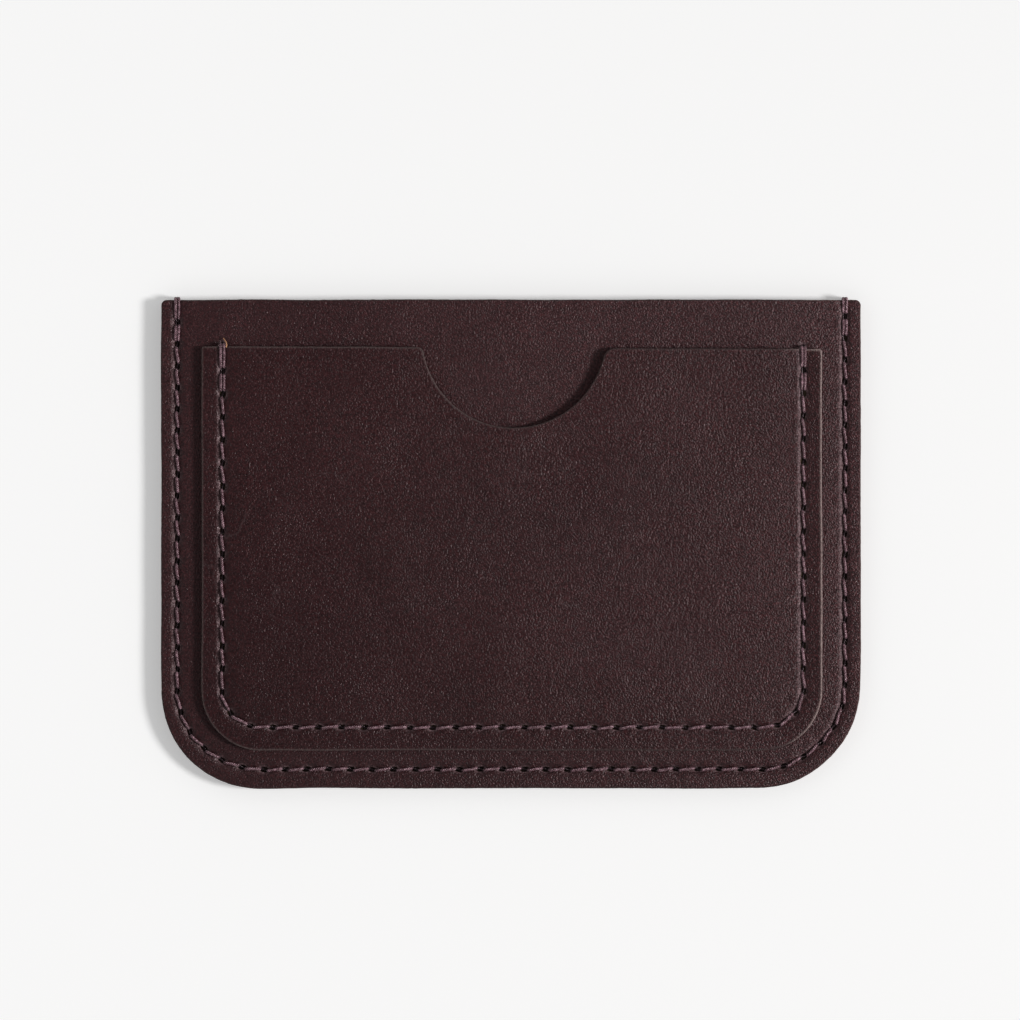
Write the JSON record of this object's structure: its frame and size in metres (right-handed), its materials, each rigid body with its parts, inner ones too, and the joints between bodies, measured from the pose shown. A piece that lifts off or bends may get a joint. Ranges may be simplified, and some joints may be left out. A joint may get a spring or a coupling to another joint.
{
  "type": "minimalist wallet",
  "caption": "Slim sewn leather card wallet with an open main pocket and a smaller front pocket with a thumb notch.",
  "frame": {"origin": "centre of the outline, on the back panel's outer face, on which the wallet lies", "axes": "+X along the long side, +Y towards the open mouths, +Z out of the front, where the small pocket is"},
  "size_m": [0.105, 0.0737, 0.005],
  "materials": {
    "panel_leather": "semi-matte, fine pebbled grain, dark oxblood brown",
    "pocket_leather": "semi-matte, fine stretched grain, dark oxblood brown",
    "thread": "twisted polyester sewing thread, mauve brown",
    "adhesive": "dried contact cement, translucent tan"
  },
  "bodies": {
    "root": {"back_panel": "panel_leather", "front_panel": "panel_leather", "pocket_panel": "pocket_leather", "outer_seam_needle_thread": "thread", "outer_seam_bobbin_thread": "thread", "pocket_seam_needle_thread": "thread", "pocket_seam_bobbin_thread": "thread", "outer_seam_adhesive": "adhesive", "pocket_seam_adhesive": "adhesive"}
  },
  "joints": []
}
